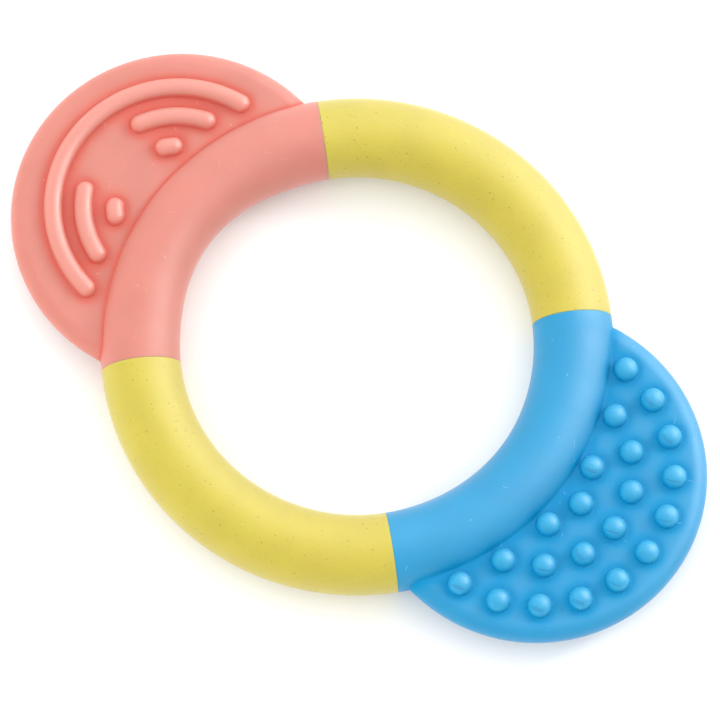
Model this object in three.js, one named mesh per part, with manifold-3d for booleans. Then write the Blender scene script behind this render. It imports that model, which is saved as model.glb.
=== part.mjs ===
// A teething ring: a round tube ring in four arcs, two yellow and two soft grips, with a textured
// disc growing out of the far side of each grip. Millimetres, +Z up. The ring lies in the XY plane
// with its centre at the origin, the blue disc points along +X and the coral disc along -X.
//
// Each grip is soft rubber moulded round a rigid insert, which locks into it through the holes of
// a fin. The insert's two ends stand out as spigots with a neck and a key. A yellow arc is a pair
// of hollow half shells, welded at mid height, that close over a spigot at each end: a bulkhead
// sits in the spigot's neck, and a notch takes its key.
import * as THREE from "three";
import { mergeVertices } from "three/addons/utils/BufferGeometryUtils.js";
import Module from "manifold-3d";

// Driving dimensions
const RING_RADIUS = 38; // centreline of the tube
const TUBE_RADIUS = 7;
const GRIP_HALF_ANGLE = 43.6; // degrees each side of a disc's middle, out to the colour seam
const DISC_OFFSET = 39; // ring centre to disc centre
const DISC_RADIUS = 30;
const DISC_HALF_THICKNESS = 2.8; // also the radius of the disc's full-round edge
const CLEARANCE = 0.3; // between an insert and what is moulded or closed round it
const SEAM_GAP = 0.2; // between a grip's end face and a yellow shell's
const PARTING_GAP = 0.1; // between a lower and an upper shell

// The grips' inner side is pulled in a little behind the disc, more on the coral one
const CORAL_RELIEF = 1.0;
const BLUE_RELIEF = 0.25;
const RELIEF_HALF_ANGLE = 37;

// Chewing texture, the same on both faces of a disc. The nubs' radii and angles are about the
// disc's centre, the ribs' about their own. A rise is how far a centre stands above the face.
const NUB_RADIUS = 2.2;
const NUB_RISE = 0.4;
const NUB_ROWS = [
  { radius: 24.15, count: 11, step: 17.2 },
  { radius: 17.05, count: 7, step: 24.1 },
  { radius: 9.9, count: 3, step: 40.2 },
];
const RIB_RADIUS = 1.65;
const RIB_RISE = 0.15;
const RIB_CENTRE = { x: 40.05, y: -0.43 };
const RIBS = [
  { radius: 21.85, from: -83.3, to: 80.9 },
  { radius: 16.5, from: 27.5, to: 69.6 },
  { radius: 16.5, from: -71, to: -28.7 },
  { radius: 10.95, from: 38.4, to: 47.2 },
  { radius: 10.95, from: -49.2, to: -40.4 },
];

// Insert: a curved bar with a fin into the disc. A spigot is a collar with a key, a neck, a head.
const BAR_RADIUS = 4.2;
const FIN_RADIUS = 20;
const FIN_HALF_THICKNESS = 1;
const FIN_HOLE_RADIUS = 2;
const FIN_HOLES = { radius: 14, count: 5, step: 30 };
const COLLAR_LENGTH = 3;
const NECK_LENGTH = 2.4;
const HEAD_LENGTH = 3;
const NECK_RADIUS = 2.6;
const KEY_REACH = 5.5; // from the tube's centreline
const KEY_HALF_THICKNESS = 1;

// Yellow shells: tongue and groove along both walls, and pegs on posts inside
const TONGUE_OFFSET = 5.75; // from the tube's centreline
const TONGUE_WIDTH = 0.8;
const TONGUE_HEIGHT = 0.6;
const TONGUE_SETBACK = 6.5; // degrees from the seam
const PEG_FIT = 0.2; // round a peg or a tongue
const PEG_ANGLES = [-21, 0, 21];
const POST_RADIUS = 2;
const POST_HEIGHT = 5; // ends inside the shell's wall
const PEG_RADIUS = 0.9;
const PEG_HEIGHT = 1.8;

// Facets
const RING_STEPS = 60;
const TUBE_SIDES = 24;
const BAR_SIDES = 12;
const DISC_STEPS = 60;
const EDGE_STEPS = 6;
const ROUND_SIDES = 12;
const BALL_SIDES = 10;
const BALL_RINGS = 6;
const RIB_STEP = 6; // degrees

const REACH = 200; // larger than the whole object, for cutting blocks
const rad = THREE.MathUtils.degToRad;

const wasm = await Module();
wasm.setup();

// Solids in and out of manifold-3d

function solid(geometry) {
  const bare = geometry.clone();
  bare.deleteAttribute("normal");
  bare.deleteAttribute("uv");
  const merged = mergeVertices(bare, 1e-4);
  return new wasm.Manifold(
    new wasm.Mesh({
      numProp: 3,
      vertProperties: new Float32Array(merged.attributes.position.array),
      triVerts: new Uint32Array(merged.index.array),
    }),
  );
}

function geometryOf(manifold) {
  const { vertProperties, triVerts } = manifold.getMesh();
  const geometry = new THREE.BufferGeometry();
  geometry.setAttribute("position", new THREE.BufferAttribute(vertProperties, 3));
  geometry.setIndex(new THREE.BufferAttribute(triVerts, 1));
  const faceted = geometry.toNonIndexed();
  faceted.computeVertexNormals();
  return faceted;
}

const joined = (solids) => solids.reduce((whole, piece) => whole.add(piece));

// Shapes about the Z axis

function turned(points, steps) {
  return new THREE.LatheGeometry(points, steps).rotateX(Math.PI / 2);
}

// A whole ring. Its section is a polygon round a circle, with flats at its top and its bottom.
function ringGeometry(radius, sides) {
  const corner = radius / Math.cos(Math.PI / sides);
  const points = Array.from({ length: sides + 1 }, (_, k) => {
    const t = ((k + 0.5) / sides) * 2 * Math.PI;
    return new THREE.Vector2(RING_RADIUS + corner * Math.cos(t), corner * Math.sin(t));
  });
  return turned(points, RING_STEPS);
}

const ring = (radius, sides) => solid(ringGeometry(radius, sides));

// A ring with a rectangular section
function hoop(innerRadius, outerRadius, low, high) {
  const points = [
    new THREE.Vector2(innerRadius, low),
    new THREE.Vector2(outerRadius, low),
    new THREE.Vector2(outerRadius, high),
    new THREE.Vector2(innerRadius, high),
    new THREE.Vector2(innerRadius, low),
  ];
  return solid(turned(points, RING_STEPS));
}

function post(radius, low, high, x, y, steps = ROUND_SIDES) {
  const geometry = new THREE.CylinderGeometry(radius, radius, high - low, steps);
  return solid(geometry.rotateX(Math.PI / 2).translate(x, y, (low + high) / 2));
}

function ball(radius, x, y, z) {
  const geometry = new THREE.SphereGeometry(radius, BALL_SIDES, BALL_RINGS);
  return solid(geometry.rotateX(Math.PI / 2).translate(x, y, z));
}

// Cutting blocks: a wedge of the ring between two angles, and all that is above or below a height

function wedge(from, to) {
  const shape = new THREE.Shape();
  for (const angle of [from, (from + to) / 2, to]) {
    shape.lineTo(REACH * Math.cos(rad(angle)), REACH * Math.sin(rad(angle)));
  }
  const geometry = new THREE.ExtrudeGeometry(shape, { depth: REACH, bevelEnabled: false });
  return solid(geometry.translate(0, 0, -REACH / 2));
}

// A wedge away from the middle, and its mirror image
const wedgePair = (from, to) => wedge(from, to).add(wedge(-to, -from));

function slab(low, high) {
  return solid(new THREE.BoxGeometry(REACH, REACH, high - low).translate(0, 0, (low + high) / 2));
}

const upperHalf = () => slab(PARTING_GAP / 2, REACH);
const lowerHalf = () => slab(-REACH, -PARTING_GAP / 2);

// A length along the tube's centreline as degrees round the ring
const degreesAlong = (length) => THREE.MathUtils.radToDeg(length / RING_RADIUS);

// Angles from the middle of a grip, out along the spigot
const HALF_GAP = degreesAlong(SEAM_GAP / 2);
const NECK_START = GRIP_HALF_ANGLE + degreesAlong(COLLAR_LENGTH);
const NECK_END = NECK_START + degreesAlong(NECK_LENGTH);
const HEAD_END = NECK_END + degreesAlong(HEAD_LENGTH);

// Insert, made with the disc towards +X

function finHoles(radius) {
  const middle = (FIN_HOLES.count - 1) / 2;
  return joined(
    Array.from({ length: FIN_HOLES.count }, (_, k) => {
      const angle = rad((k - middle) * FIN_HOLES.step);
      const x = DISC_OFFSET + FIN_HOLES.radius * Math.cos(angle);
      return post(radius, -REACH, REACH, x, FIN_HOLES.radius * Math.sin(angle));
    }),
  );
}

// The fin, or the slot for it with a margin all round
function fin(margin) {
  const half = FIN_HALF_THICKNESS + margin;
  const plate = post(FIN_RADIUS + margin, -half, half, DISC_OFFSET, 0, DISC_STEPS);
  const ringInside = post(RING_RADIUS + BAR_RADIUS / 2, -REACH, REACH, 0, 0, RING_STEPS);
  return plate.subtract(ringInside).subtract(finHoles(FIN_HOLE_RADIUS - margin));
}

// The two keys, or the notches for them with a margin all round
function keys(margin) {
  const half = KEY_HALF_THICKNESS + margin;
  const outer = RING_RADIUS + KEY_REACH + margin;
  const end = NECK_START + degreesAlong(margin);
  return hoop(RING_RADIUS + BAR_RADIUS / 2, outer, -half, half).intersect(
    wedgePair(GRIP_HALF_ANGLE, end),
  );
}

function insert() {
  return ring(BAR_RADIUS, BAR_SIDES)
    .subtract(wedgePair(NECK_START, NECK_END))
    .add(ring(NECK_RADIUS, BAR_SIDES))
    .intersect(wedge(-HEAD_END, HEAD_END))
    .add(fin(0))
    .add(keys(0));
}

// Soft grip, made with the disc towards +X

function relieve(geometry, depth) {
  const position = geometry.attributes.position;
  for (let k = 0; k < position.count; k++) {
    const x = position.getX(k);
    const y = position.getY(k);
    const radius = Math.hypot(x, y);
    const turn = Math.abs(Math.atan2(y, x)) / rad(RELIEF_HALF_ANGLE);
    if (radius < RING_RADIUS && turn < 1) {
      const share = (depth / TUBE_RADIUS) * Math.cos((turn * Math.PI) / 2) ** 2;
      const scale = (radius + (RING_RADIUS - radius) * share) / radius;
      position.setXY(k, x * scale, y * scale);
    }
  }
  return geometry;
}

function disc() {
  const flatRadius = DISC_RADIUS - DISC_HALF_THICKNESS;
  const points = [new THREE.Vector2(0, -DISC_HALF_THICKNESS)];
  for (let k = 0; k <= EDGE_STEPS; k++) {
    const t = (k / EDGE_STEPS - 0.5) * Math.PI;
    const x = flatRadius + DISC_HALF_THICKNESS * Math.cos(t);
    points.push(new THREE.Vector2(x, DISC_HALF_THICKNESS * Math.sin(t)));
  }
  points.push(new THREE.Vector2(0, DISC_HALF_THICKNESS));
  return solid(turned(points, DISC_STEPS).translate(DISC_OFFSET, 0, 0));
}

function onBothFaces(rise, makeAt) {
  return [-1, 1].flatMap((side) => makeAt(side * (DISC_HALF_THICKNESS + rise)));
}

function nubRow({ radius, count, step }, z) {
  return Array.from({ length: count }, (_, k) => {
    const angle = rad((k - (count - 1) / 2) * step);
    return ball(NUB_RADIUS, DISC_OFFSET + radius * Math.cos(angle), radius * Math.sin(angle), z);
  });
}

const nubs = () => onBothFaces(NUB_RISE, (z) => NUB_ROWS.flatMap((row) => nubRow(row, z)));

class ArcPath extends THREE.Curve {
  constructor(radius, from, to, z) {
    super();
    Object.assign(this, { radius, from, to, z });
  }

  getPoint(t) {
    const angle = rad(this.from + (this.to - this.from) * t);
    const x = RIB_CENTRE.x + this.radius * Math.cos(angle);
    const y = RIB_CENTRE.y + this.radius * Math.sin(angle);
    return new THREE.Vector3(x, y, this.z);
  }
}

// A rounded bar along an arc, with round ends
function rib({ radius, from, to }, z) {
  const path = new ArcPath(radius, from, to, z);
  const circle = new THREE.EllipseCurve(0, 0, RIB_RADIUS, RIB_RADIUS);
  const section = new THREE.Shape(circle.getPoints(BALL_SIDES).slice(0, BALL_SIDES));
  const steps = Math.ceil((to - from) / RIB_STEP);
  const bar = new THREE.ExtrudeGeometry(section, { extrudePath: path, steps });
  const ends = [path.getPoint(0), path.getPoint(1)];
  return joined([solid(bar), ...ends.map(({ x, y }) => ball(RIB_RADIUS, x, y, z))]);
}

const ribs = () => onBothFaces(RIB_RISE, (z) => RIBS.map((line) => rib(line, z)));

function grip(relief, texture) {
  const end = GRIP_HALF_ANGLE - HALF_GAP;
  const ringInside = post(RING_RADIUS, -REACH, REACH, 0, 0, RING_STEPS);
  const plate = joined([disc(), ...texture]).subtract(ringInside);
  return solid(relieve(ringGeometry(TUBE_RADIUS, TUBE_SIDES), relief))
    .add(plate)
    .intersect(wedge(-end, end))
    .subtract(ring(BAR_RADIUS + CLEARANCE, BAR_SIDES))
    .subtract(fin(CLEARANCE));
}

// Yellow half shells, made with the middle of the arc towards +X. A grip's middle is a quarter
// turn away on each side, so an angle along its spigot is taken from 90 degrees here.

function bulkheadSpace() {
  const margin = degreesAlong(CLEARANCE);
  return wedgePair(90 - NECK_END + margin, 90 - NECK_START - margin);
}

function pegs(radius, low, high) {
  return joined(
    PEG_ANGLES.map((degrees) => {
      const angle = rad(degrees);
      return post(radius, low, high, RING_RADIUS * Math.cos(angle), RING_RADIUS * Math.sin(angle));
    }),
  );
}

function wholeArc() {
  const seam = 90 - GRIP_HALF_ANGLE - HALF_GAP;
  const hollow = ring(BAR_RADIUS + CLEARANCE, BAR_SIDES).subtract(bulkheadSpace());
  return ring(TUBE_RADIUS, TUBE_SIDES)
    .intersect(wedge(-seam, seam))
    .subtract(hollow.add(ring(NECK_RADIUS + CLEARANCE, BAR_SIDES)))
    .subtract(keys(CLEARANCE).rotate([0, 0, 90]))
    .subtract(keys(CLEARANCE).rotate([0, 0, -90]))
    .add(pegs(POST_RADIUS, -POST_HEIGHT, POST_HEIGHT));
}

// The tongues along both walls, or the grooves for them with a margin all round
function tongues(margin) {
  const end = 90 - GRIP_HALF_ANGLE - TONGUE_SETBACK + degreesAlong(margin);
  const half = TONGUE_WIDTH / 2 + margin;
  const walls = [RING_RADIUS - TONGUE_OFFSET, RING_RADIUS + TONGUE_OFFSET];
  const top = TONGUE_HEIGHT + margin;
  return joined(walls.map((radius) => hoop(radius - half, radius + half, -TONGUE_HEIGHT, top)))
    .intersect(wedge(-end, end));
}

function topShell() {
  return wholeArc()
    .intersect(upperHalf())
    .subtract(tongues(PEG_FIT))
    .subtract(pegs(PEG_RADIUS + PEG_FIT, -PEG_HEIGHT, PEG_HEIGHT + PEG_FIT));
}

function bottomShell() {
  return wholeArc()
    .intersect(lowerHalf())
    .add(tongues(0))
    .add(pegs(PEG_RADIUS, -PEG_HEIGHT, PEG_HEIGHT));
}

// Materials

function finish(color, roughness) {
  return new THREE.MeshStandardMaterial({ color, roughness, metalness: 0 });
}

const coralRubber = finish(0xee9582, 0.5);
const blueRubber = finish(0x41aae2, 0.5);
const yellowPlastic = finish(0xe3d25f, 0.6);
const whitePlastic = finish(0xf0efe9, 0.45);

// Assembly

function mesh(name, manifold, material) {
  const piece = new THREE.Mesh(geometryOf(manifold), material);
  piece.name = name;
  return piece;
}

function facing(degrees, ...pieces) {
  const group = new THREE.Group().add(...pieces);
  group.rotation.z = rad(degrees);
  return group;
}

const teethingRing = new THREE.Group().add(
  facing(
    0,
    mesh("blue_grip", grip(BLUE_RELIEF, nubs()), blueRubber),
    mesh("blue_grip_insert", insert(), whitePlastic),
  ),
  facing(
    180,
    mesh("coral_grip", grip(CORAL_RELIEF, ribs()), coralRubber),
    mesh("coral_grip_insert", insert(), whitePlastic),
  ),
  facing(
    90,
    mesh("rear_arc_top_shell", topShell(), yellowPlastic),
    mesh("rear_arc_bottom_shell", bottomShell(), yellowPlastic),
  ),
  facing(
    -90,
    mesh("front_arc_top_shell", topShell(), yellowPlastic),
    mesh("front_arc_bottom_shell", bottomShell(), yellowPlastic),
  ),
);

export default teethingRing;
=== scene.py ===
"""A teething ring lying on a white table: a tube ring in coral, yellow, blue and yellow arcs, with a
ribbed disc on the coral arc and a nubbed disc on the blue arc.

The soft grips are polygonised from distance fields, and the mesh is drawn onto the lines where tube,
disc, ribs and nubs meet, so that these stay crisp. The yellow shells are swept sections. Shapes are
worked out in millimetres and written in metres.
"""

import math

import bmesh
import bpy
import numpy as np
from mathutils import Matrix, Vector


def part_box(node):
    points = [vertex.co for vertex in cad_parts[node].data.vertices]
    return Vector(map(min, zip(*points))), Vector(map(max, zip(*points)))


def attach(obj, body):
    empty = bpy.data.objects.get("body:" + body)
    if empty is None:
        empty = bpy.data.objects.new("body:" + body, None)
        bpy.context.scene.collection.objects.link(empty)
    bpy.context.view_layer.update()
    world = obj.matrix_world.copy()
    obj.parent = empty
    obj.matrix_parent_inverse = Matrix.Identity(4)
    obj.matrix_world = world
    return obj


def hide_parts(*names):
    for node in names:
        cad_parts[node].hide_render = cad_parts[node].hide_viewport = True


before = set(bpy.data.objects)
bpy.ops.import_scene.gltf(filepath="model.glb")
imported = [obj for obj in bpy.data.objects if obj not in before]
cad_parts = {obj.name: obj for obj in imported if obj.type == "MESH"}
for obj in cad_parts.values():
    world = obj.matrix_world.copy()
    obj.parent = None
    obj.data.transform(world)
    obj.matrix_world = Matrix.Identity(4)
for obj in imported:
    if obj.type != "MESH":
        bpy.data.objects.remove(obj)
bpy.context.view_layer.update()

MM = 0.001
SAME_PLACE = 1e-6  # points nearer than this, in metres, are one

# ---------------------------------------------------------------- sizes from the frame, in mm


def extent(node):
    """Lowest and highest corner of a CAD node, in mm."""
    low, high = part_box(node)
    return np.array(low) / MM, np.array(high) / MM


TUBE_RADIUS = extent("blue_grip")[1][2]
RING_RADIUS = extent("rear_arc_top_shell")[1][1] - TUBE_RADIUS
BLUE_TIP = extent("blue_grip")[1][0]
CORAL_TIP = -extent("coral_grip")[0][0]

# ---------------------------------------------------------------- the object's own sizes, in mm

SEAM_ANGLE = math.radians(43.6)  # half the angle that a grip takes of the ring
SEAM_GAP = 0.02
SEAM_ROUND = 0.06  # rounding of the edges at a seam
SEAM_ROUND_STEPS = 4
SEAM_EXCESS = 0.08  # angle that a grip's mesh goes past its seam before it is cut there
DISC_RADIUS = 30.0
DISC_HALF_THICKNESS = 2.8

NUB_RADIUS = 2.1
NUB_RISE = 0.4  # how far a nub's centre stands above the disc's face
NUB_ROWS = [(24.15, 11, 17.2), (17.05, 7, 24.1), (9.9, 3, 40.2)]  # radius, count, step in degrees

RIB_RADIUS = 1.65
RIB_RISE = 0.15  # how far a rib's axis lies above the disc's face
RIB_CENTRE = (40.05, -0.43)
RIBS = [  # radius about the ribs' centre, first and last angle in degrees
    (21.85, -83.3, 80.9),
    (16.5, 27.5, 69.6),
    (16.5, -71, -28.7),
    (10.95, 38.4, 47.2),
    (10.95, -49.2, -40.4),
]

RELIEF_HALF_ANGLE = math.radians(37)  # the tube is thinner on its inner side, within this angle
CORAL_RELIEF = 1.0
BLUE_RELIEF = 0.25

INSERT_ROOM = 4.5  # radius of the channel for the insert's bar
SLOT_HALF_THICKNESS = 1.3  # of the slot for the insert's fin
SLOT_RADIUS = 20.3
POST_RADIUS = 1.7
POSTS = [(14.0, angle) for angle in (-60, -30, 0, 30, 60)]  # radius and degrees about the disc

WALL_MIDDLE = TUBE_RADIUS - 1  # a radius inside the rubber, between the channel and the outside

INSERT_GAP = 0.3
BORE_HALF_ANGLE = 33.2  # degrees of a yellow arc that are hollow each side of its middle
BORE_SIDES = 32
BORE_STEPS = 41
PARTING_GAP = 0.04  # between an upper and a lower shell
PARTING_ROUND = 0.08
PARTING_ROUND_STEPS = 3
SHELL_SIDES = 56
SHELL_STEPS = 141

NET_CELL = 0.355  # keeps each grip under 200,000 triangles, and no flat face on a grid plane
SHORTEST_EDGE = 0.005
RELAX_ROUNDS = 6
NOOK_REACH = 1.0  # how far the painted shade of a hollow corner reaches
CORAL_TUBE_REACH = 0.4  # the same, for the coral tube
TUBE_SIDE_SHARE = 0.45  # how much of the corner mask, and so of the painted shade, shows on the tube's side
FAR = 1e3  # further than any part of the object

# ---------------------------------------------------------------- distance fields


def polar(radius, degrees, centre=0.0):
    """A point at that radius and angle about a centre on the X axis."""
    angle = math.radians(degrees)
    return centre + radius * math.cos(angle), radius * math.sin(angle)


class Grip:
    """The shape of a soft grip with its disc towards +X, as distances to its parts."""

    tube_reach = NOOK_REACH

    def __init__(self, tip, relief):
        self.disc_x = tip - DISC_RADIUS
        self.relief = relief

    def tube(self, x, y, z):
        """The tube, round but for a slight flattening of its inner side."""
        ring_offset = np.hypot(x, y) - RING_RADIUS
        turn = np.clip(np.arctan2(y, x) / RELIEF_HALF_ANGLE, -1, 1) * math.pi / 2
        share = self.relief / TUBE_RADIUS * np.cos(turn) ** 2
        across = np.where(ring_offset < 0, ring_offset / (1 - share), ring_offset)
        return np.hypot(across, z) - TUBE_RADIUS

    def disc(self, x, y, z):
        """The disc with its fully rounded edge, from the middle of the tube outward."""
        over = np.hypot(x - self.disc_x, y) - (DISC_RADIUS - DISC_HALF_THICKNESS)
        plate = np.hypot(np.maximum(over, 0), z) - DISC_HALF_THICKNESS
        return np.maximum(plate, RING_RADIUS - np.hypot(x, y))

    def parts(self, x, y, z):
        """Distances to the tube, the disc and all the texture, in three rows."""
        texture = np.full(x.shape, FAR)
        for bump in self.bumps(x, y, z):
            texture = np.minimum(texture, bump)
        return np.stack([self.tube(x, y, z), self.disc(x, y, z), texture])

    def hollow(self, x, y, z):
        """The channel and the slot for the insert, with the rubber posts that go through its fin."""
        ring_offset = np.hypot(x, y) - RING_RADIUS
        channel = np.hypot(ring_offset, z) - INSERT_ROOM
        slot = np.maximum(np.abs(z) - SLOT_HALF_THICKNESS, np.hypot(x - self.disc_x, y) - SLOT_RADIUS)
        slot = np.maximum(slot, -ring_offset)
        for post in POSTS:
            px, py = polar(*post, centre=self.disc_x)
            slot = np.maximum(slot, POST_RADIUS - np.hypot(x - px, y - py))
        return np.minimum(channel, slot)

    def field(self, x, y, z):
        """The whole grip, below zero inside the rubber."""
        return np.maximum(self.parts(x, y, z).min(axis=0), -self.hollow(x, y, z))

    def nook(self, x, y, z):
        """0 in the open, 1 in a corner between two parts, and more where a corner is crowded: the mask
        of the shade painted into corners.
        """
        near = np.abs([self.tube(x, y, z), self.disc(x, y, z), *self.bumps(x, y, z)])
        share = np.where(near[0] < near[1:].min(axis=0), TUBE_SIDE_SHARE, 1)
        felt = np.exp(-near / NOOK_REACH)
        felt[0] = np.exp(-near[0] / self.tube_reach)
        return share * (felt.sum(axis=0) - 1)

    def lift(self, x, y, z):
        """How far the texture stands out of the tube and the disc, 0 everywhere else."""
        return np.maximum(np.minimum(self.tube(x, y, z), self.disc(x, y, z)), 0)

    def traits(self, x, y, z):
        """What the material is told about each point."""
        return {"nook": self.nook(x, y, z), "lift": self.lift(x, y, z)}


class NubbedGrip(Grip):
    """A grip with rows of round nubs on both faces of its disc."""

    def nubs(self):
        """The nubs' places on the disc."""
        for radius, count, step in NUB_ROWS:
            for k in range(count):
                yield polar(radius, (k - (count - 1) / 2) * step, centre=self.disc_x)

    def bumps(self, x, y, z):
        height = np.abs(z) - DISC_HALF_THICKNESS - NUB_RISE
        for nx, ny in self.nubs():
            yield np.sqrt((x - nx) ** 2 + (y - ny) ** 2 + height ** 2) - NUB_RADIUS

    def traits(self, x, y, z):
        return super().traits(x, y, z) | {"nub": nub_places(self, x, y, z)}


class RibbedGrip(Grip):
    """A grip with round-ended arc ribs on both faces of its disc."""

    tube_reach = CORAL_TUBE_REACH

    def bumps(self, x, y, z):
        height = np.abs(z) - DISC_HALF_THICKNESS - RIB_RISE
        x, y = x - RIB_CENTRE[0], y - RIB_CENTRE[1]
        angle, distance = np.arctan2(y, x), np.hypot(x, y)
        for radius, first, last in RIBS:
            middle, half = math.radians(first + last) / 2, math.radians(last - first) / 2
            # the nearest point of the arc, straight below or at its nearer end
            beyond = np.clip(np.abs(angle - middle) - half, 0, math.pi / 2)
            along = distance * np.sin(beyond)
            across = distance * np.cos(beyond) - radius
            yield np.sqrt(along ** 2 + across ** 2 + height ** 2) - RIB_RADIUS


# ---------------------------------------------------------------- from field to mesh


def surface_net(field, low, high, cell):
    """Points, their cells' middles and the quads of a field's zero level, by naive surface nets."""
    axes = [np.arange(a, b, cell) for a, b in zip(low, high)]
    values = field(*np.meshgrid(*axes, indexing="ij"))
    shape = values.shape
    total = np.zeros(shape + (3,))
    count = np.zeros(shape)
    quads = []
    for axis in range(3):
        u, v = (axis + 1) % 3, (axis + 2) % 3
        near = np.moveaxis(values, axis, 0)[:-1]
        far = np.moveaxis(values, axis, 0)[1:]
        crossing = np.moveaxis((near < 0) != (far < 0), 0, axis)
        index = np.argwhere(crossing)
        start = values[tuple(index.T)]
        ahead = index.copy()
        ahead[:, axis] += 1
        end = values[tuple(ahead.T)]
        point = index.astype(float)
        point[:, axis] += start / (start - end)
        ring = []
        for du, dv in ((0, 0), (-1, 0), (-1, -1), (0, -1)):
            box = index.copy()
            box[:, u] += du
            box[:, v] += dv
            np.add.at(total, tuple(box.T), point)
            np.add.at(count, tuple(box.T), 1)
            ring.append(np.ravel_multi_index(box.T, shape))
        ring = np.stack(ring, axis=1)
        ring[start > 0] = ring[start > 0][:, ::-1]  # so that all quads face out
        quads.append(ring)
    used = np.flatnonzero(count.ravel())
    points = total.reshape(-1, 3)[used] / count.ravel()[used, None]
    middles = np.stack(np.unravel_index(used, shape), axis=1) + 0.5
    lookup = np.zeros(count.size, dtype=int)
    lookup[used] = np.arange(used.size)
    return points * cell + low, middles * cell + low, lookup[np.concatenate(quads)]


def slope_of(field, points, step=0.01):
    """Slope of a field, or of each of several rows of fields, along a last axis of three."""
    columns = []
    for axis in range(3):
        shift = np.zeros(3)
        shift[axis] = step
        ahead, behind = points + shift, points - shift
        columns.append((field(*ahead.T) - field(*behind.T)) / (2 * step))
    return np.stack(columns, axis=-1)


def onto_surface(field, points, limit):
    """Moves points to the zero level along the field's slope, at most limit at a time."""
    slope = slope_of(field, points)
    size = np.maximum((slope ** 2).sum(axis=1), 0.05)
    move = -(field(*points.T) / size)[:, None] * slope
    length = np.maximum(np.linalg.norm(move, axis=1, keepdims=True), 1e-9)
    return points + move * np.minimum(1, limit / length)


class Creases:
    """Where two parts of a grip meet: the points of the net that belong on those lines."""

    def __init__(self, shape, points, middles, cell):
        self.shape = shape
        self.pair = np.argsort(shape.parts(*points.T), axis=0)[:2]
        spots = points
        for _ in range(5):
            spots = self.onto(spots, self.pair, cell)
        inside = (np.abs(spots - middles) < 0.52 * cell).all(axis=1)
        outside = shape.parts(*spots.T).min(axis=0) > -0.01
        solid = shape.hollow(*spots.T) > cell
        meeting = np.abs(self.readings(self.pair, *spots.T)).max(axis=0) < 0.01
        self.index = np.flatnonzero(inside & outside & solid & meeting)
        self.pair = self.pair[:, self.index]

    def readings(self, pair, x, y, z):
        """The distances to the two parts of each point's pair."""
        return np.take_along_axis(self.shape.parts(x, y, z), pair, axis=0)

    def onto(self, points, pair, limit):
        """One step towards where both parts of each point's pair read zero."""
        value = self.readings(pair, *points.T)[..., None]
        a, b = slope_of(lambda x, y, z: self.readings(pair, x, y, z), points)
        aa, ab, bb = ((u * v).sum(axis=1, keepdims=True) for u, v in ((a, a), (a, b), (b, b)))
        spread = np.maximum(aa * bb - ab ** 2, 1e-3)
        move = (value[1] * ab - value[0] * bb) / spread * a
        move += (value[0] * ab - value[1] * aa) / spread * b
        length = np.maximum(np.linalg.norm(move, axis=1, keepdims=True), 1e-9)
        return points + move * np.minimum(1, limit / length)

    def snap(self, points, cell):
        """Moves the creases' points one step towards their lines."""
        points[self.index] = self.onto(points[self.index], self.pair, cell)


def relaxed(field, points, quads, creases, rounds, cell):
    """Evens out the net's points, on the surface, with those of a crease kept on its line."""
    edges = np.concatenate([quads[:, [k, (k + 1) % 4]] for k in range(4)])
    on_crease = np.zeros(len(points), dtype=bool)
    on_crease[creases.index] = True
    edges = edges[~on_crease[edges[:, 0]] | on_crease[edges[:, 1]]]  # a crease follows only itself
    neighbours = np.bincount(edges[:, 0], minlength=len(points))[:, None]
    alone = neighbours[:, 0] == 0
    for k in range(rounds + 1):
        if k:
            average = np.zeros_like(points)
            np.add.at(average, edges[:, 0], points[edges[:, 1]])
            average = average / np.maximum(neighbours, 1)
            average[alone] = points[alone]
            points = points + 0.5 * (average - points)
        kept = points[creases.index]
        points = onto_surface(field, points, cell)
        points[creases.index] = kept
        creases.snap(points, cell)
    return points


def mesh_object(name, points, faces):
    """A smooth-shaded object from points in mm."""
    mesh = bpy.data.meshes.new(name)
    mesh.from_pydata((points * MM).tolist(), [], faces)
    mesh.update()
    mesh.shade_smooth()
    piece = bpy.data.objects.new(name, mesh)
    bpy.context.scene.collection.objects.link(piece)
    return piece


# ---------------------------------------------------------------- soft grips


def cut_at_seams(piece, limit):
    """Cuts a grip square at both seams, rounds the cut's outer edge and closes its end faces."""
    bm = bmesh.new()
    bm.from_mesh(piece.data)
    for side in (-1, 1):
        across = Vector((-math.sin(side * limit), math.cos(side * limit), 0)) * side
        middle = Vector((math.cos(limit), side * math.sin(limit), 0)) * RING_RADIUS * MM
        start = -SEAM_ROUND * MM * across
        everything = bm.verts[:] + bm.edges[:] + bm.faces[:]
        bmesh.ops.bisect_plane(bm, geom=everything, dist=SAME_PLACE, plane_co=start, plane_no=across,
                               clear_outer=True)
        rim = [e for e in bm.edges if e.is_boundary]
        outer = [e for e in rim if (e.verts[0].co - middle).length > WALL_MIDDLE * MM]
        inner = [e for e in rim if e not in set(outer)]
        for k in range(1, SEAM_ROUND_STEPS + 1):
            before, now = ((n / SEAM_ROUND_STEPS) * math.pi / 2 for n in (k - 1, k))
            out = bmesh.ops.extrude_edge_only(bm, edges=outer)["geom"]
            outer = [g for g in out if isinstance(g, bmesh.types.BMEdge)]
            for vert in {v for e in outer for v in e.verts}:
                radial = vert.co - middle
                radial = (radial - radial.dot(across) * across).normalized()
                vert.co += across * SEAM_ROUND * MM * (math.sin(now) - math.sin(before))
                vert.co -= radial * SEAM_ROUND * MM * (math.cos(before) - math.cos(now))
        out = bmesh.ops.extrude_edge_only(bm, edges=inner)["geom"]
        inner = [g for g in out if isinstance(g, bmesh.types.BMEdge)]
        for vert in {v for e in inner for v in e.verts}:
            vert.co += across * SEAM_ROUND * MM
        bmesh.ops.triangle_fill(bm, edges=outer + inner, use_beauty=True, normal=across)
    bmesh.ops.dissolve_degenerate(bm, dist=SHORTEST_EDGE * MM, edges=bm.edges[:])
    bmesh.ops.recalc_face_normals(bm, faces=bm.faces[:])
    bm.to_mesh(piece.data)
    bm.free()


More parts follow.
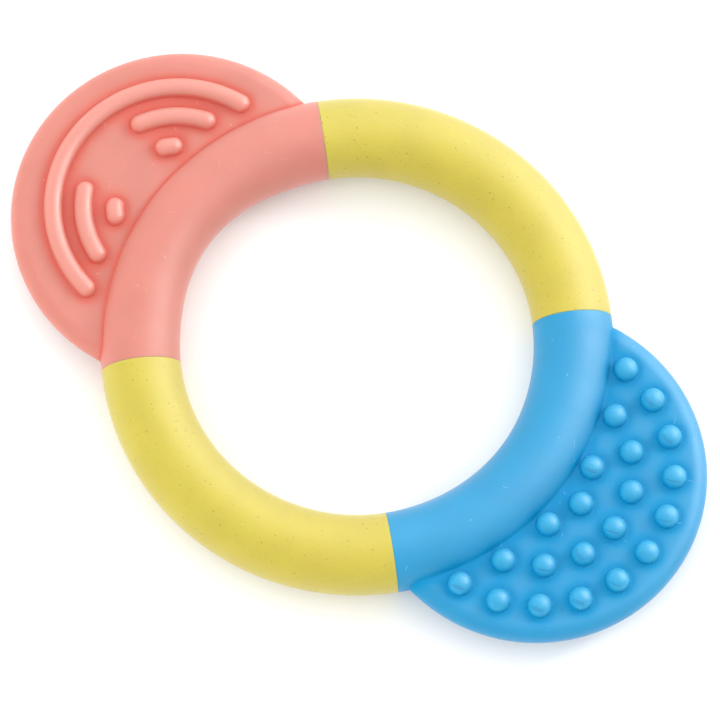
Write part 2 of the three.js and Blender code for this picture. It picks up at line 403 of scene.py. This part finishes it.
def store(mesh, name, values):
    """Keeps one number or one vector for each point of a mesh, for its material."""
    kind, key = ("FLOAT", "value") if values.ndim == 1 else ("FLOAT_VECTOR", "vector")
    mesh.attributes.new(name, kind, "POINT").data.foreach_set(key, values.astype(np.float32).ravel())


def soft_grip(name, shape, turn):
    """The grip as a mesh, turned about Z to where it belongs."""
    beyond = SEAM_ANGLE + SEAM_EXCESS
    low = np.array((RING_RADIUS * 0.5, -RING_RADIUS - 2, -TUBE_RADIUS - 0.7))
    high = np.array((shape.disc_x + DISC_RADIUS + 1, RING_RADIUS + 2, TUBE_RADIUS + 1.0))

    def field(x, y, z):
        ends = np.abs(np.arctan2(y, x)) - beyond
        return np.maximum(shape.field(x, y, z), ends * RING_RADIUS)

    points, middles, quads = surface_net(field, low, high, NET_CELL)
    creases = Creases(shape, points, middles, NET_CELL)
    points = relaxed(field, points, quads, creases, RELAX_ROUNDS, NET_CELL)
    piece = mesh_object(name, points, quads.tolist())
    cut_at_seams(piece, SEAM_ANGLE - SEAM_GAP / 2 / RING_RADIUS)
    places = np.zeros(len(piece.data.vertices) * 3)
    piece.data.vertices.foreach_get("co", places)
    places = places.reshape(-1, 3).T / MM
    for trait, values in shape.traits(*places).items():
        store(piece.data, trait, values)
    piece.data.transform(turn)
    return piece


def nub_places(shape, x, y, z):
    """For each point: where it is on its nub, in the nub's own turned frame, and how marked that is."""
    random = np.random.default_rng(7)
    nearest = np.full(x.shape, FAR)
    result = np.zeros((len(x), 3))
    for nx, ny in shape.nubs():
        turn = random.normal(0.4, 0.3)
        marked = random.uniform(-0.5, 1)
        u, v = x - nx, y - ny
        distance = np.hypot(u, v)
        closer = distance < nearest
        nearest = np.where(closer, distance, nearest)
        local = (u * math.cos(turn) + v * math.sin(turn), v * math.cos(turn) - u * math.sin(turn))
        own = np.stack([*local, np.full(x.shape, max(marked, 0))], axis=1)
        result = np.where(closer[:, None], own, result)
    result[:, 2] *= z > 0  # only the upper face's nubs are marked
    return result


# ---------------------------------------------------------------- yellow half shells


def rounded_end(steps):
    """(advance, inset) along a quarter circle of the edge rounding, in mm."""
    for k in range(steps + 1):
        angle = k / steps * math.pi / 2
        yield SEAM_ROUND * math.sin(angle), SEAM_ROUND * (1 - math.cos(angle))


def half_section(inset):
    """Outline of an upper half of the tube, in the section's plane, as (across, height)."""
    radius = TUBE_RADIUS - inset
    low = PARTING_GAP / 2
    start = math.asin((low + PARTING_ROUND) / radius)
    angles = np.linspace(start, math.pi - start, SHELL_SIDES)
    arc = [(radius * math.cos(a), radius * math.sin(a)) for a in angles]
    corner = []
    for k in range(1, PARTING_ROUND_STEPS + 1):
        angle = k / PARTING_ROUND_STEPS * math.pi / 2
        across = arc[-1][0] + PARTING_ROUND * (1 - math.cos(angle))
        corner.append((across, low + PARTING_ROUND * (1 - math.sin(angle))))
    mirrored = [(-across, height) for across, height in reversed(corner)]
    return arc + corner + mirrored


def swept(name, sections):
    """A closed solid from rows of equal sections: [(turn about Z, [(across, height), ...]), ...]."""
    points = []
    for turn, outline in sections:
        for across, height in outline:
            reach = RING_RADIUS + across
            points.append((reach * math.cos(turn), reach * math.sin(turn), height))
    sides = len(sections[0][1])
    faces = []
    for row in range(len(sections) - 1):
        for k in range(sides):
            a, b = row * sides + k, row * sides + (k + 1) % sides
            faces.append((a, b, b + sides, a + sides))
    last = (len(sections) - 1) * sides
    faces.append(tuple(range(sides)))
    faces.append(tuple(range(last, last + sides)))
    piece = mesh_object(name, np.array(points), faces)
    bm = bmesh.new()
    bm.from_mesh(piece.data)
    bmesh.ops.recalc_face_normals(bm, faces=bm.faces[:])
    bm.to_mesh(piece.data)
    bm.free()
    return piece


def half_arc(name):
    """A solid upper half of a yellow arc, its middle towards +X."""
    end = math.pi / 2 - SEAM_ANGLE - SEAM_GAP / 2 / RING_RADIUS
    straight = end - SEAM_ROUND / RING_RADIUS
    steps = list(rounded_end(SEAM_ROUND_STEPS))
    rows = [(-straight - go / RING_RADIUS, half_section(inset)) for go, inset in reversed(steps)]
    for turn in np.linspace(-straight, straight, SHELL_STEPS)[1:-1]:
        rows.append((turn, half_section(0)))
    rows += [(straight + go / RING_RADIUS, half_section(inset)) for go, inset in steps]
    return swept(name, rows)


def bore(name):
    """The hollow of a yellow arc between its two bulkheads, its middle towards +X."""
    angles = np.arange(BORE_SIDES) / BORE_SIDES * 2 * math.pi
    outline = [(INSERT_ROOM * math.cos(a), INSERT_ROOM * math.sin(a)) for a in angles]
    half = math.radians(BORE_HALF_ANGLE)
    return swept(name, [(turn, outline) for turn in np.linspace(-half, half, BORE_STEPS)])


def room_for(node):
    """A copy of an insert, grown on every side by the room it needs."""
    piece = bpy.data.objects.new("room_" + node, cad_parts[node].data.copy())
    bpy.context.scene.collection.objects.link(piece)
    bm = bmesh.new()
    bm.from_mesh(piece.data)
    bm.transform(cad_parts[node].matrix_world)
    bmesh.ops.remove_doubles(bm, verts=bm.verts[:], dist=SAME_PLACE)
    bmesh.ops.recalc_face_normals(bm, faces=bm.faces[:])
    moves = [v.normal * v.calc_shell_factor() * INSERT_GAP * MM for v in bm.verts]
    for vert, move in zip(bm.verts, moves):
        vert.co += move
    bm.to_mesh(piece.data)
    bm.free()
    return piece


def subtract(piece, cutter):
    """Cuts the cutter's shape out of the piece's mesh."""
    cut = piece.modifiers.new("cut", "BOOLEAN")
    cut.operation = "DIFFERENCE"
    cut.solver = "MANIFOLD"
    cut.object = cutter
    depsgraph = bpy.context.evaluated_depsgraph_get()
    result = bpy.data.meshes.new_from_object(piece.evaluated_get(depsgraph))
    piece.modifiers.clear()
    old = piece.data
    piece.data = result
    bpy.data.meshes.remove(old)


def yellow_shells(material):
    """The four half shells, hollow, with room for the ends of the inserts."""
    rooms = [room_for("blue_grip_insert"), room_for("coral_grip_insert")]
    for place, turn in (("rear", math.pi / 2), ("front", -math.pi / 2)):
        turned = Matrix.Rotation(turn, 4, "Z")
        for level, height in (("top", 1), ("bottom", -1)):
            piece = half_arc(f"{place}_arc_{level}")
            hollow = bore("bore")
            flipped = Matrix.Diagonal((1, 1, height, 1))
            piece.data.transform(turned @ flipped)
            hollow.data.transform(turned)
            if height < 0:
                piece.data.flip_normals()
            for cutter in [hollow] + rooms:
                subtract(piece, cutter)
            bpy.data.objects.remove(hollow)
            piece.data.shade_smooth()
            mark_sharp(piece)
            finish_piece(piece, f"{place}_arc_{level}_shell", material)
    for room in rooms:
        bpy.data.objects.remove(room)


# ---------------------------------------------------------------- finishes


class Finish:
    """A Principled material built up from procedural layers, with sizes in mm."""

    def __init__(self, name):
        self.material = bpy.data.materials.new(name)
        self.material.use_nodes = True
        self.nodes = self.material.node_tree.nodes
        self.links = self.material.node_tree.links
        self.surface = self.nodes["Principled BSDF"]
        self.place = self.add("ShaderNodeTexCoord").outputs["Object"]

    def add(self, kind, values=None, **settings):
        """A new node, with its settings and with numbers or other nodes' outputs fed into it."""
        node = self.nodes.new(kind)
        for key, value in settings.items():
            setattr(node, key, value)
        for name, value in (values or {}).items():
            self.feed(node.inputs[name], value)
        return node

    def feed(self, socket, value):
        """Links a node's output to the socket, or sets a plain value there."""
        if isinstance(value, bpy.types.NodeSocket):
            self.links.new(value, socket)
        else:
            socket.default_value = value

    def math(self, operation, *values):
        return self.add("ShaderNodeMath", dict(enumerate(values)), operation=operation).outputs[0]

    def shifted(self, seed):
        """The place on the object, moved so that each seed gives another pattern."""
        shift = (seed * 0.031, seed * 0.017, seed * 0.023)
        values = {0: self.place, 1: shift}
        return self.add("ShaderNodeVectorMath", values, operation="ADD").outputs[0]

    def noise(self, size, seed, detail=2.0):
        """Cloudy noise between 0 and 1 with features of that size."""
        values = {"Vector": self.shifted(seed), "Scale": 1 / (size * MM), "Detail": detail}
        return self.add("ShaderNodeTexNoise", values).outputs["Fac"]

    def ease(self, value, start, end, low=0.0, high=1.0):
        """low up to start, high from end on, and smooth between them."""
        values = {"Value": value, "From Min": start, "From Max": end, "To Min": low, "To Max": high}
        node = self.add("ShaderNodeMapRange", values, interpolation_type="SMOOTHSTEP")
        return node.outputs[0]

    def mix(self, factor, a, b):
        node = self.add("ShaderNodeMix", {0: factor, 6: a, 7: b}, data_type="RGBA")
        return node.outputs[2]

    def over(self, under, colour, mask, strength):
        """The colour laid over another where the mask is 1, with that strength."""
        return self.mix(self.math("MULTIPLY", mask, strength), under, colour)

    def specks(self, per_mm3, radius, seed):
        """1 on small round specks spread through the body, of many sizes up to that radius."""
        cell = per_mm3 ** (-1 / 3)
        values = {"Vector": self.shifted(seed), "Scale": 1 / (cell * MM)}
        cells = self.add("ShaderNodeTexVoronoi", values)
        chance = self.add("ShaderNodeSeparateColor", {0: cells.outputs["Color"]}).outputs[0]
        size = self.math("MULTIPLY_ADD", chance, radius * 0.7, radius * 0.3)
        nearness = self.math("DIVIDE", self.math("MULTIPLY", cells.outputs["Distance"], cell), size)
        return self.ease(nearness, 1.1, 0.7)

    def scuffs(self, cell, share, length, width, seed):
        """1 on short bent scratches, seen from above, in a share of the cells of that size."""
        x, y, _ = self.add("ShaderNodeSeparateXYZ", {0: self.shifted(seed)}).outputs
        flat = self.add("ShaderNodeCombineXYZ", {0: x, 1: y}).outputs[0]
        values = {"Vector": flat, "Scale": 1 / (cell * MM)}
        cells = self.add("ShaderNodeTexVoronoi", values, voronoi_dimensions="2D")
        chance = self.add("ShaderNodeSeparateColor", {0: cells.outputs["Color"]}).outputs
        values = {0: flat, 1: cells.outputs["Position"]}
        local = self.add("ShaderNodeVectorMath", values, operation="SUBTRACT").outputs[0]
        values = {"Vector": local, "Angle": self.math("MULTIPLY", chance[0], math.tau)}
        turned = self.add("ShaderNodeVectorRotate", values, rotation_type="Z_AXIS").outputs[0]
        along, across, _ = self.add("ShaderNodeSeparateXYZ", {0: turned}).outputs
        bend = self.math("MULTIPLY", self.math("MULTIPLY", along, along), 0.25 / (length * MM))
        off = self.math("ABSOLUTE", self.math("ADD", across, bend))
        line = self.ease(off, width * MM, width * MM * 0.3)
        stretch = self.ease(self.math("ABSOLUTE", along), length * MM, length * MM * 0.5)
        broken = self.ease(self.noise(0.35, seed + 3), 0.42, 0.55)
        line = self.math("MULTIPLY", self.math("MULTIPLY", line, stretch), broken)
        return self.math("MULTIPLY", line, self.math("LESS_THAN", chance[1], share))

    def stored(self, name):
        """A value kept with the mesh's points."""
        return self.add("ShaderNodeAttribute", attribute_name=name)

    def bump(self, height, distance):
        """Adds a relief of that height in mm on top of the ones before it."""
        socket = self.surface.inputs["Normal"]
        before = [link.from_socket for link in socket.links]
        node = self.add("ShaderNodeBump", {"Height": height, "Distance": distance * MM})
        if before:
            self.links.new(before[0], node.inputs["Normal"])
        self.links.new(node.outputs[0], socket)

    def set(self, values):
        for name, value in values.items():
            self.feed(self.surface.inputs[name], value)


def shade(colour, factor):
    """The colour, darker or lighter by that factor."""
    return tuple(min(1.0, c * factor) for c in colour[:3]) + (1.0,)


def soft_rubber(f, colour, painted_shade, painted_lit_texture, pale, veil, glint, seed, marks=0.0):
    """Satin rubber with mould grain, dust, dark specks and scuffs. Shade is painted into hollow corners
    in a more saturated colour. Light is painted onto the ribs and nubs in a lighter colour, where the
    gloss is also higher. The pale colour is the dust's, and a pale sheen veil shows at the rims."""
    mottle = f.ease(f.noise(9, seed), 0.3, 0.7)
    dust = f.specks(0.03, 0.12, seed + 1)
    dirt = f.specks(0.08, 0.09, seed + 2)
    scuffs = f.scuffs(7, 0.3, 0.8, 0.05, seed + 4)
    haze = f.ease(f.noise(5, seed + 5, 4), 0.45, 0.75)
    grain = f.noise(0.14, seed + 6, 3)
    waves = f.noise(2.2, seed + 7)
    lift = f.stored("lift").outputs["Fac"]
    nook = f.math("MULTIPLY", f.stored("nook").outputs["Fac"], f.ease(lift, 1.3, 0.45))

    tint = f.mix(mottle, shade(colour, 0.97), shade(colour, 1.03))
    # painted light: ribs and nubs painted lighter than the body, as a lit copy of it
    tint = f.mix(f.ease(lift, 0.4, 1.6), tint, painted_lit_texture)
    # painted shade: hollow corners take a more saturated shade colour
    tint = f.mix(f.ease(nook, 0.03, 0.6, 0, 0.36), tint, painted_shade)
    tint = f.mix(f.ease(nook, 0.5, 1.15, 0, 0.6), tint, painted_shade)  # painted shade once more, stronger where a corner is crowded
    tint = f.over(tint, shade(painted_shade, 0.75), marks, 0.7)
    tint = f.over(tint, pale, dust, 0.6)
    tint = f.over(tint, shade(painted_shade, 0.4), dirt, 0.4)
    tint = f.over(tint, pale, scuffs, 0.35)
    f.set({
        "Base Color": tint,
        "Roughness": f.math("MULTIPLY_ADD", haze, 0.08, 0.54),
        "Specular IOR Level": f.ease(nook, 0.02, 0.6, 0.5, 0.15),
        "Subsurface Scale": 0.001,
        "Coat Weight": f.ease(lift, 0.8, 1.4, 0, glint),
        "Coat Roughness": 0.2,
        "Sheen Weight": f.ease(f.math("ADD", lift, nook), 0, 0.3, veil, 0),
        "Sheen Roughness": 0.45,
    })
    f.bump(grain, 0.01)
    f.bump(waves, 0.02)
    f.bump(f.math("MULTIPLY", marks, -1), 0.05)
    f.bump(scuffs, 0.01)


def coral_rubber():
    """Coral rubber, which lets red light through."""
    f = Finish("coral_rubber")
    soft_rubber(
        f,
        colour=(0.52, 0.18, 0.138, 1),
        # colour of the shade painted into corners
        painted_shade=(0.66, 0.088, 0.067, 1),
        # lighter colour painted onto the ribs, standing in for the light they catch
        painted_lit_texture=(0.56, 0.225, 0.178, 1),
        pale=(0.8, 0.6, 0.52, 1),
        veil=0.33,
        glint=0.35,
        seed=2,
    )
    f.set({
        "Subsurface Weight": 0.75,
        "Subsurface Radius": (2.5, 0.7, 0.5),
        "Sheen Tint": (1.0, 0.8, 0.85, 1),
    })
    return f.material


def nub_lines(f):
    """1 on one or two fine curved lines low on some nubs, as moulding leaves them."""
    u, v, marked = f.add("ShaderNodeSeparateXYZ", {0: f.stored("nub").outputs["Vector"]}).outputs
    bent = f.math("MULTIPLY_ADD", f.math("MULTIPLY", u, u), -0.14, v)
    across = f.math("ADD", bent, NUB_RADIUS * 0.62)
    line = f.ease(f.math("ABSOLUTE", across), 0.12, 0.03)
    second = f.ease(f.math("ABSOLUTE", f.math("ADD", across, -0.3)), 0.1, 0.02)
    line = f.math("MULTIPLY_ADD", second, f.ease(marked, 0.5, 0.6), line)
    line = f.math("MULTIPLY", line, f.ease(f.math("ABSOLUTE", u), 1.5, 0.8))
    return f.math("MULTIPLY", line, f.ease(marked, 0.0, 0.3))


def blue_rubber():
    """Blue rubber, with fine lines on its nubs."""
    f = Finish("blue_rubber")
    soft_rubber(
        f,
        colour=(0.0, 0.242, 0.46, 1),
        # colour of the shade painted into corners
        painted_shade=(0.0, 0.235, 0.5, 1),
        # lighter colour painted onto the nubs, standing in for the light they catch
        painted_lit_texture=(0.01, 0.29, 0.5, 1),
        pale=(0.6, 0.75, 0.85, 1),
        veil=0.23,
        glint=0.1,
        seed=1,
        marks=nub_lines(f),
    )
    f.set({
        "Subsurface Weight": 0.5,
        "Subsurface Radius": (0.3, 0.9, 2.0),
        "Sheen Tint": (1.0, 0.65, 0.8, 1),
    })
    return f.material


def filled_plastic():
    """Matte plastic filled with plant fibre: sparse dark specks in a pale yellow body."""
    f = Finish("yellow_plastic")
    yellow = (0.443, 0.363, 0.023, 1)
    mottle = f.ease(f.noise(7, 20), 0.3, 0.7)
    tint = f.mix(mottle, shade(yellow, 0.97), shade(yellow, 1.03))
    grain = f.ease(f.noise(0.25, 21), 0.35, 0.7)
    tint = f.over(tint, shade(yellow, 0.7), grain, 0.06)
    for per_mm3, radius, seed, strength, colour in (
        (0.8, 0.16, 22, 0.6, (0.08, 0.05, 0.008, 1)),  # bits of husk
        (10, 0.11, 23, 0.3, (0.16, 0.11, 0.015, 1)),  # fine fibre
        (0.05, 0.12, 24, 0.5, (0.75, 0.72, 0.5, 1)),  # dust
    ):
        tint = f.over(tint, colour, f.specks(per_mm3, radius, seed), strength)
    f.set({
        "Base Color": tint,
        "Roughness": f.math("MULTIPLY_ADD", grain, 0.06, 0.58),
        "Specular IOR Level": 0.58,
        "Subsurface Weight": 0.1,
        "Subsurface Scale": 0.001,
        "Sheen Weight": 0.32,
        "Sheen Roughness": 0.55,
        "Sheen Tint": (1.0, 0.96, 0.88, 1),
    })
    f.bump(f.noise(0.18, 25, 3), 0.01)
    f.bump(f.noise(2.6, 26), 0.015)
    return f.material


def plain_moulding():
    """Off-white plastic of the hidden inserts, with a fine spark-eroded grain."""
    f = Finish("white_plastic")
    white = (0.8, 0.79, 0.75, 1)
    f.set({
        "Base Color": f.mix(f.ease(f.noise(4, 30), 0.3, 0.7), shade(white, 0.94), white),
        "Roughness": f.math("MULTIPLY_ADD", f.noise(0.6, 31), 0.2, 0.35),
    })
    f.bump(f.noise(0.2, 32, 3), 0.02)
    return f.material


# ---------------------------------------------------------------- assembly


def finish_piece(piece, node, material):
    """Gives a piece its material and puts it in the place of a CAD node."""
    piece.data.materials.clear()
    piece.data.materials.append(material)
    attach(piece, "root")
    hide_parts(node)


def mark_sharp(piece):
    """Keeps the inner edges of a shell crisp, and the outside smooth."""
    piece.data.set_sharp_from_angle(angle=math.radians(40))


def soft_grips():
    """Both grips. The coral one is worked out towards +X as well, then turned to -X."""
    blue = soft_grip("blue_grip_soft", NubbedGrip(BLUE_TIP, BLUE_RELIEF), Matrix.Identity(4))
    finish_piece(blue, "blue_grip", blue_rubber())
    half_turn = Matrix.Rotation(math.pi, 4, "Z")
    coral = soft_grip("coral_grip_soft", RibbedGrip(CORAL_TIP, CORAL_RELIEF), half_turn)
    finish_piece(coral, "coral_grip", coral_rubber())


def inserts():
    """The inserts stay as the CAD has them, in plain white."""
    white = plain_moulding()
    for node in ("blue_grip_insert", "coral_grip_insert"):
        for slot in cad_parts[node].material_slots:
            slot.material = white


# ---------------------------------------------------------------- studio

AZIMUTH, ELEVATION = math.radians(37.2), math.radians(74.5)  # where the camera is
BACK = Vector((math.sin(AZIMUTH) * math.cos(ELEVATION),
               -math.cos(AZIMUTH) * math.cos(ELEVATION),
               math.sin(ELEVATION)))
RIGHT = Vector((math.cos(AZIMUTH), math.sin(AZIMUTH), 0))
UP = BACK.cross(RIGHT)
VIEW_DISTANCE = 1.05
LENS = 299.3
SENSOR = 36
AIM_RIGHT, AIM_UP = 0.55, -2.7  # the picture's middle, in mm from the ring's centre
ROOM_LIGHT = 1.3
ROOM_RISE = 0.5  # how much brighter the room is towards the picture's top, darker towards its bottom
TABLE_REACH = 3


def aimed(data, location, target=Vector((0, 0, 0))):
    """Links a light or camera at a place, looking at the target."""
    thing = bpy.data.objects.new(data.name, data)
    thing.location = location
    thing.rotation_mode = "QUATERNION"
    thing.rotation_quaternion = (target - Vector(location)).to_track_quat("-Z", "Y")
    bpy.context.scene.collection.objects.link(thing)
    return thing


def camera():
    """A long lens high over the front right of the ring."""
    data = bpy.data.cameras.new("camera")
    data.lens = LENS
    data.sensor_width = SENSOR
    data.clip_end = 10
    target = (AIM_RIGHT * RIGHT + AIM_UP * UP) * MM
    bpy.context.scene.camera = aimed(data, target + BACK * VIEW_DISTANCE, target)


def soft_box(name, location, size, energy):
    """A square lamp that looks at the ring."""
    data = bpy.data.lights.new(name, "AREA")
    data.shape = "SQUARE"
    data.size = size
    data.energy = energy
    return aimed(data, Vector(location))


def room():
    """White light from all round, brighter from beyond the top of the picture."""
    world = bpy.data.worlds.new("room")
    world.use_nodes = True
    nodes, links = world.node_tree.nodes, world.node_tree.links
    towards = nodes.new("ShaderNodeTexCoord")
    upward = nodes.new("ShaderNodeVectorMath")
    upward.operation = "DOT_PRODUCT"
    upward.inputs[1].default_value = UP
    links.new(towards.outputs["Generated"], upward.inputs[0])
    strength = nodes.new("ShaderNodeMath")
    strength.operation = "MULTIPLY_ADD"
    strength.inputs[1].default_value = ROOM_RISE
    strength.inputs[2].default_value = ROOM_LIGHT
    links.new(upward.outputs["Value"], strength.inputs[0])
    links.new(strength.outputs[0], nodes["Background"].inputs["Strength"])
    nodes["Background"].inputs["Color"].default_value = (1.0, 1.0, 1.0, 1)
    bpy.context.scene.world = world


def studio():
    """A white room and table, a lamp and a window at the picture's upper right, and a bright wall at
    its left. The window only shows in reflections, the wall only in the colours."""
    room()
    soft_box("key", location=(0.32, 0.53, 0.34), size=0.15, energy=1.6)
    window = soft_box("window", location=(0.28, 0.62, 0.42), size=1.1, energy=18)
    window.visible_diffuse = False
    wall = soft_box("left_wall", location=(-0.19, -0.57, 0.35), size=0.5, energy=1.8)
    wall.visible_glossy = False

    mesh = bpy.data.meshes.new("table_top")
    height = -TUBE_RADIUS * MM
    signs = ((-1, -1), (1, -1), (1, 1), (-1, 1))
    corners = [(x * TABLE_REACH, y * TABLE_REACH, height) for x, y in signs]
    mesh.from_pydata(corners, [], [(0, 1, 2, 3)])
    table = bpy.data.objects.new("table_top", mesh)
    bpy.context.scene.collection.objects.link(table)
    f = Finish("white_table")
    f.set({"Base Color": (0.89, 0.89, 0.88, 1), "Roughness": 0.6, "Specular IOR Level": 0.2})
    mesh.materials.append(f.material)
    bpy.context.scene.view_settings.view_transform = "Standard"


soft_grips()
yellow_shells(filled_plastic())
inserts()
studio()
camera()
